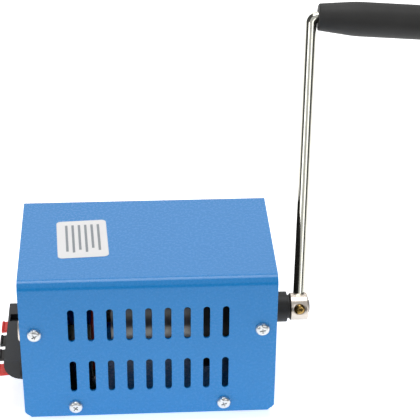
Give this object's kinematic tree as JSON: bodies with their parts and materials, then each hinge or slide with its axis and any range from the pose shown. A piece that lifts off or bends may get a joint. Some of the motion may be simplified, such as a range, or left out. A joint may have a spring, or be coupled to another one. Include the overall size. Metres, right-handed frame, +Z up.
{
  "type": "hand crank generator",
  "caption": "Hand crank generator: a folded steel case with vent slots, a bent crank with a turning grip, a gear train and a wound rotor inside, and spring terminals.",
  "frame": {"origin": "middle of the case's footprint, on the surface that the feet stand on", "axes": "+Z up, +X from the terminals to the crank, along the crank shaft, +Y to the back of the case"},
  "size_m": [0.2354, 0.11, 0.1563],
  "materials": {
    "blue_paint": "satin powder coat",
    "plated_steel": "zinc plated",
    "black_rubber": "matte",
    "white_label": "satin",
    "black_plastic": "matte",
    "red_plastic": "gloss",
    "grip_plastic": "satin",
    "brass": "bright",
    "nickel": "nickel plated",
    "chrome_rod": "polished",
    "dark_steel": "oiled",
    "motor_steel": "satin",
    "gear_plastic": "matte",
    "board_green": "gloss",
    "white_plastic": "matte",
    "copper": "bright",
    "laminated_steel": "matte",
    "ferrite": "matte",
    "carbon": "matte",
    "red_wire": "satin",
    "black_wire": "satin",
    "capacitor_sleeve": "gloss"
  },
  "bodies": {
    "case": {"cover": "blue_paint", "chassis": "blue_paint", "cover_screws": "plated_steel", "feet": "black_rubber", "foot_screws": "plated_steel", "top_label": "white_label", "terminal_housing": "black_plastic", "terminal_contacts": "brass", "terminal_springs": "plated_steel", "terminal_screws": "plated_steel", "power_socket": "black_plastic", "power_socket_nut": "nickel", "power_socket_pin": "nickel", "circuit_board": "board_green", "board_posts": "white_plastic", "board_screws": "plated_steel", "capacitor": "capacitor_sleeve", "rectifier": "black_plastic", "motor_lead_red": "red_wire", "motor_lead_black": "black_wire", "output_leads": "red_wire", "socket_leads": "black_wire", "gearbox_case": "black_plastic", "gearbox_plate": "motor_steel", "plate_screws": "plated_steel", "motor_screws": "plated_steel", "panel_screws": "plated_steel", "layshaft_pin": "dark_steel", "shaft_bushes": "brass", "motor_can": "motor_steel", "motor_end_cap": "black_plastic", "brushes": "carbon", "field_magnets": "ferrite", "motor_bearings": "brass"},
    "crank": {"crank_shaft": "dark_steel", "crank_gear": "gear_plastic", "shaft_clip": "dark_steel", "shaft_collar": "black_plastic", "crank_hub": "nickel", "hub_screw": "brass", "crank_arm": "chrome_rod", "grip_washer": "plated_steel", "grip_screw": "plated_steel"},
    "grip": {"grip": "grip_plastic"},
    "layshaft": {"layshaft_gear": "gear_plastic"},
    "rotor": {"rotor_core": "laminated_steel", "rotor_windings": "copper", "commutator": "copper", "rotor_shaft": "dark_steel", "motor_pinion": "brass"},
    "lever_1": {"terminal_lever_1": "red_plastic"},
    "lever_2": {"terminal_lever_2": "black_plastic"},
    "lever_3": {"terminal_lever_3": "black_plastic"},
    "lever_4": {"terminal_lever_4": "red_plastic"}
  },
  "joints": [
    {"name": "crank_turn", "type": "hinge", "parent": "case", "child": "crank", "pos_m": [0.0685, 0, 0.03575], "axis": [1, 0, 0], "continuous": true},
    {"name": "grip_spin", "type": "hinge", "parent": "crank", "child": "grip", "pos_m": [0.07758, 0.06574, 0.14962], "axis": [0.9976, -0.0344, -0.0597], "continuous": true},
    {"name": "layshaft_turn", "type": "hinge", "parent": "case", "child": "layshaft", "pos_m": [0.03, 0.0093, 0.05186], "axis": [1, 0, 0], "continuous": true},
    {"name": "rotor_turn", "type": "hinge", "parent": "case", "child": "rotor", "pos_m": [0, 0, 0.03575], "axis": [1, 0, 0], "continuous": true},
    {"name": "lever_1_press", "type": "hinge", "parent": "case", "child": "lever_1", "pos_m": [-0.0596, -0.0165, 0.018], "axis": [0, -1, 0], "range_deg": [0, 20], "stiffness_Nm_per_rad": 0.03},
    {"name": "lever_2_press", "type": "hinge", "parent": "case", "child": "lever_2", "pos_m": [-0.0596, -0.0055, 0.018], "axis": [0, -1, 0], "range_deg": [0, 20], "stiffness_Nm_per_rad": 0.03},
    {"name": "lever_3_press", "type": "hinge", "parent": "case", "child": "lever_3", "pos_m": [-0.0596, 0.0055, 0.018], "axis": [0, -1, 0], "range_deg": [0, 20], "stiffness_Nm_per_rad": 0.03},
    {"name": "lever_4_press", "type": "hinge", "parent": "case", "child": "lever_4", "pos_m": [-0.0596, 0.0165, 0.018], "axis": [0, -1, 0], "range_deg": [0, 20], "stiffness_Nm_per_rad": 0.03}
  ],
  "couplings": [
    {"joint": "layshaft_turn", "follows": "crank_turn", "ratio": -4.1667},
    {"joint": "rotor_turn", "follows": "crank_turn", "ratio": 17.361}
  ]
}
